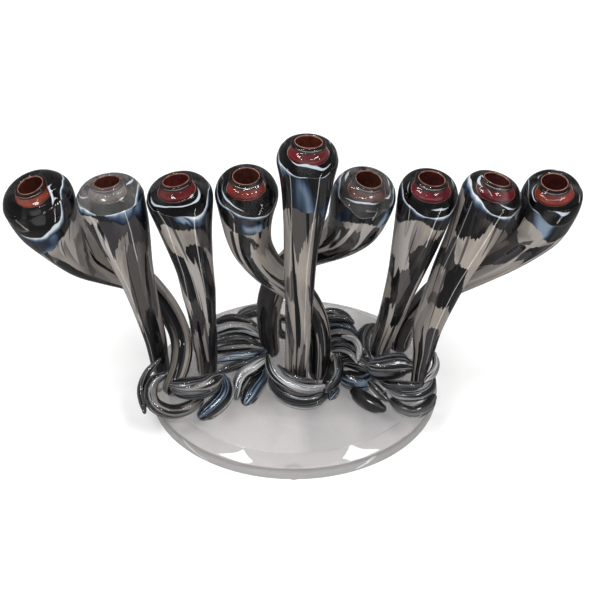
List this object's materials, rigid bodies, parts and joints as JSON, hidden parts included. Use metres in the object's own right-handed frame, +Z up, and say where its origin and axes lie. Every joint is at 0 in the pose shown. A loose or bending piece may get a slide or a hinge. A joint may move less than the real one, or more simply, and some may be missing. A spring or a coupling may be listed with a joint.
{
  "type": "menorah",
  "caption": "Blown-glass menorah: branches with round socketed heads rise in three bundles from curled glass strands on an oval clear base plate.",
  "frame": {"origin": "middle of the object's width and depth, at the underside of the bumpers", "axes": "+X to the menorah's right along the row of heads, -Y to the front, +Z up"},
  "size_m": [0.2928, 0.139, 0.1745],
  "materials": {
    "clear_plastic": "polished clear",
    "clear_rubber": "clear soft plastic",
    "arm_glass": "polished, cased, patterned in black, grey and taupe, clear at the head",
    "socket_glass": "polished red",
    "curl_glass": "polished clear with black, white and blue strands"
  },
  "bodies": {
    "root": {"base_plate": "clear_plastic", "bumper_1": "clear_rubber", "bumper_2": "clear_rubber", "bumper_3": "clear_rubber", "bumper_4": "clear_rubber", "arm_left_outer": "arm_glass", "socket_liner_left_outer": "socket_glass", "arm_left_middle": "arm_glass", "socket_liner_left_middle": "socket_glass", "arm_left_inner": "arm_glass", "socket_liner_left_inner": "socket_glass", "arm_centre_left": "arm_glass", "socket_liner_centre_left": "socket_glass", "arm_shamash": "arm_glass", "socket_liner_shamash": "socket_glass", "arm_centre_right": "arm_glass", "socket_liner_centre_right": "socket_glass", "arm_right_inner": "arm_glass", "socket_liner_right_inner": "socket_glass", "arm_right_middle": "arm_glass", "socket_liner_right_middle": "socket_glass", "arm_right_outer": "arm_glass", "socket_liner_right_outer": "socket_glass", "left_curl_1": "curl_glass", "left_curl_2": "curl_glass", "left_curl_3": "curl_glass", "left_curl_4": "curl_glass", "left_gap_curl_1": "curl_glass", "left_gap_curl_2": "curl_glass", "left_gap_curl_3": "curl_glass", "left_gap_curl_4": "curl_glass", "left_gap_curl_5": "curl_glass", "left_gap_curl_6": "curl_glass", "left_gap_curl_7": "curl_glass", "left_gap_curl_8": "curl_glass", "left_gap_curl_9": "curl_glass", "centre_curl_1": "curl_glass", "centre_curl_2": "curl_glass", "centre_curl_3": "curl_glass", "centre_curl_4": "curl_glass", "centre_curl_5": "curl_glass", "centre_curl_6": "curl_glass", "right_gap_curl_1": "curl_glass", "right_gap_curl_2": "curl_glass", "right_gap_curl_3": "curl_glass", "right_gap_curl_4": "curl_glass", "right_gap_curl_5": "curl_glass", "right_gap_curl_6": "curl_glass", "right_gap_curl_7": "curl_glass", "right_gap_curl_8": "curl_glass", "right_gap_curl_9": "curl_glass", "right_gap_curl_10": "curl_glass", "right_gap_curl_11": "curl_glass", "right_curl_1": "curl_glass", "right_curl_2": "curl_glass", "right_curl_3": "curl_glass", "right_curl_4": "curl_glass", "right_curl_5": "curl_glass", "right_curl_6": "curl_glass"}
  },
  "joints": []
}
